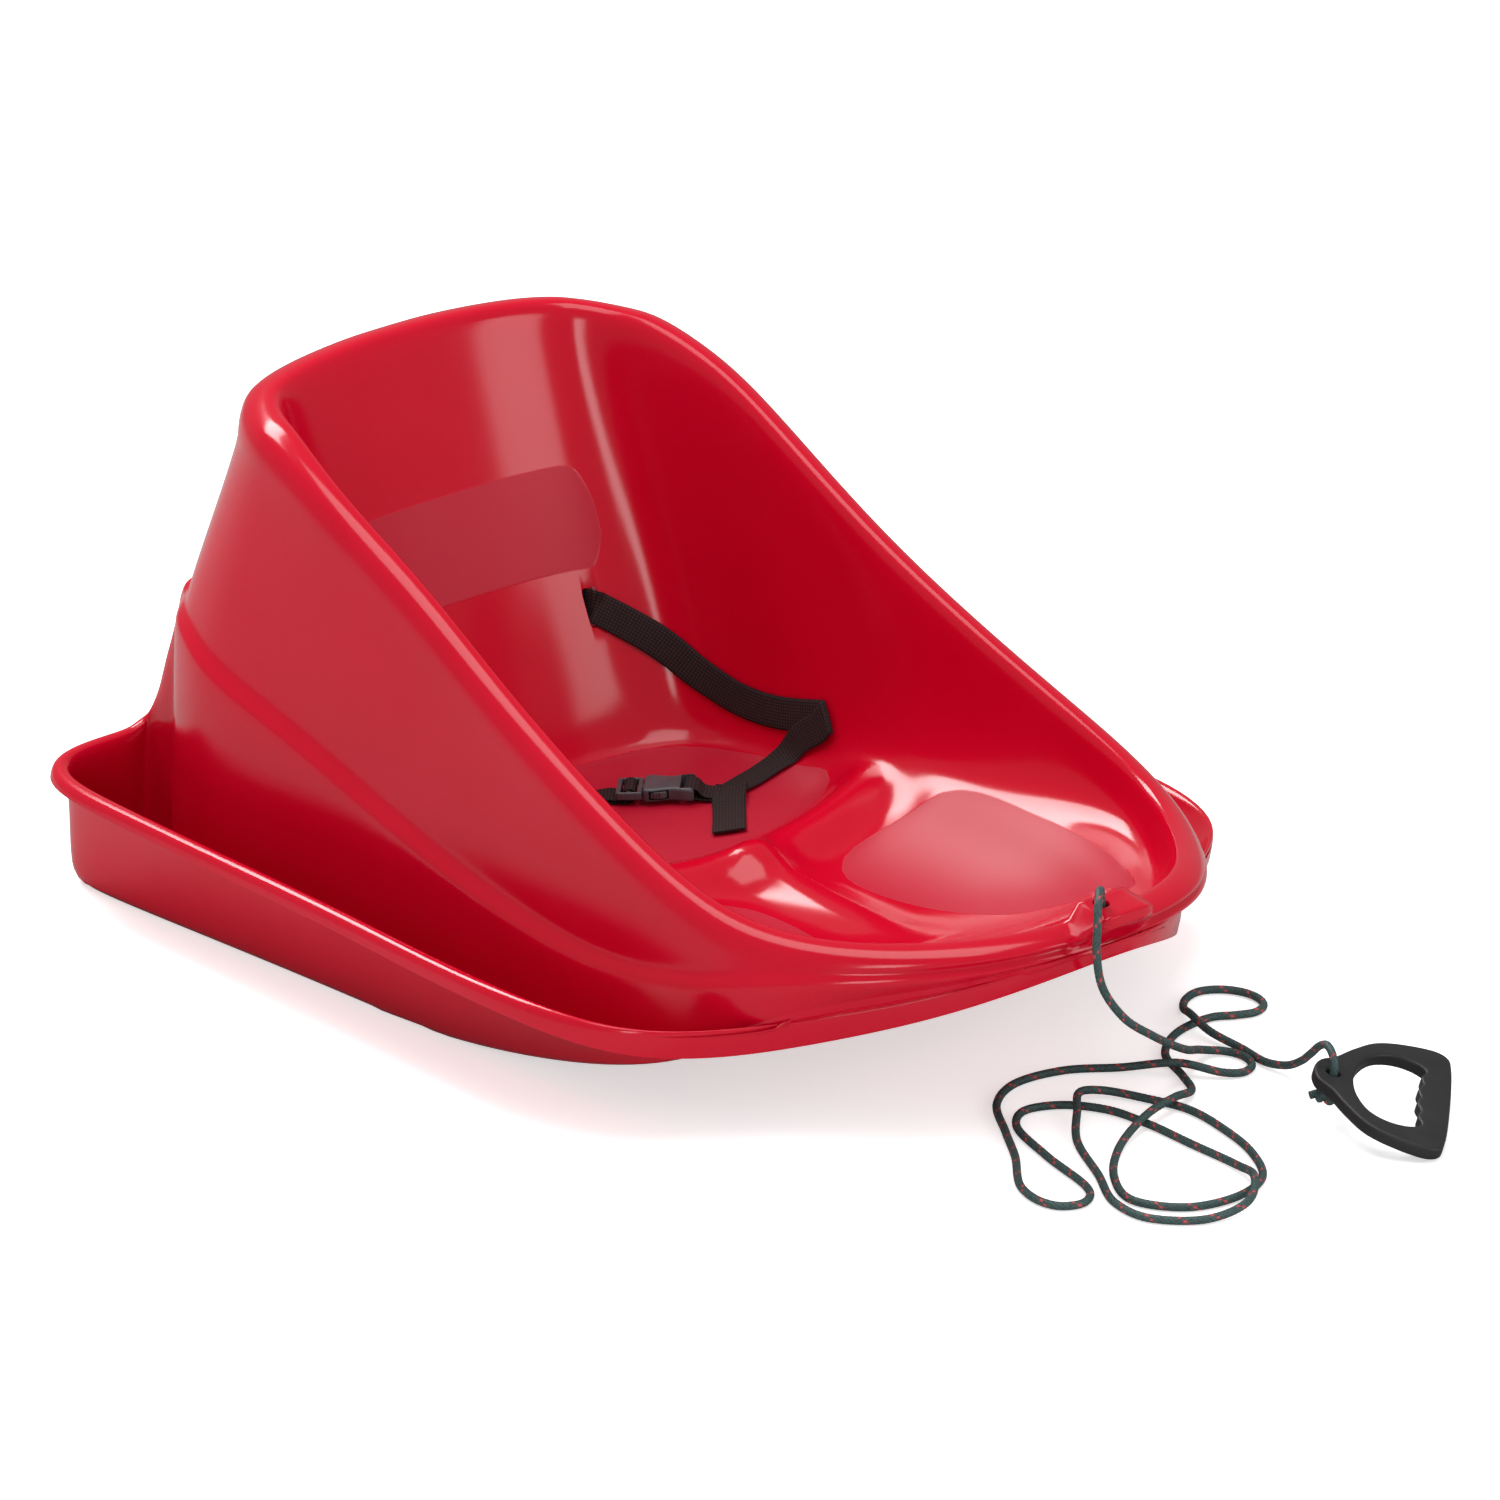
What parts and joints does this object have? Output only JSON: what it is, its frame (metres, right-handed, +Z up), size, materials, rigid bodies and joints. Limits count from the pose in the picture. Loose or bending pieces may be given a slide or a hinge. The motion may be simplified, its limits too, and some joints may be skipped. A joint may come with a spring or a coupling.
{
  "type": "baby pull sled",
  "caption": "Moulded bucket seat on hollow side runners, with a reclined back, a lap belt with a side-release buckle, and a pull rope with a moulded handle.",
  "frame": {"origin": "on the ground, under the middle of the sled's bounding box, rope and handle not counted", "axes": "+Y from the nose to the back, +X across towards the sled's left side, +Z up"},
  "size_m": [0.5174, 0.8648, 0.3206],
  "materials": {
    "shell": "glossy moulded polyethylene",
    "webbing": "woven webbing",
    "buckle": "satin moulded acetal",
    "rope": "braided cord with a red fleck",
    "handle": "satin moulded plastic"
  },
  "bodies": {
    "sled": {"shell": "shell", "belt_webbing": "webbing", "buckle_socket": "buckle", "buckle_plug": "buckle", "pull_rope": "rope", "stopper_knot": "rope", "handle_knot": "rope"},
    "release_arm_left": {"release_arm_left": "buckle"},
    "release_arm_right": {"release_arm_right": "buckle"},
    "handle": {"pull_handle": "handle"}
  },
  "joints": [
    {"name": "release_left", "type": "hinge", "parent": "sled", "child": "release_arm_left", "pos_m": [0.03385, 0.09997, 0.06448], "axis": [-0.0339, 0.0349, 0.9988], "range_deg": [0, 8], "stiffness_Nm_per_rad": 0.6},
    {"name": "release_right", "type": "hinge", "parent": "sled", "child": "release_arm_right", "pos_m": [0.04552, 0.11122, 0.06449], "axis": [-0.0339, 0.0349, 0.9988], "range_deg": [-8, 0], "stiffness_Nm_per_rad": 0.6},
    {"name": "handle_swing", "type": "hinge", "parent": "sled", "child": "handle", "pos_m": [0.093, -0.4266, 0.028], "axis": [0.1132, -0.2633, 0.958], "range_deg": [-30, 6]}
  ]
}
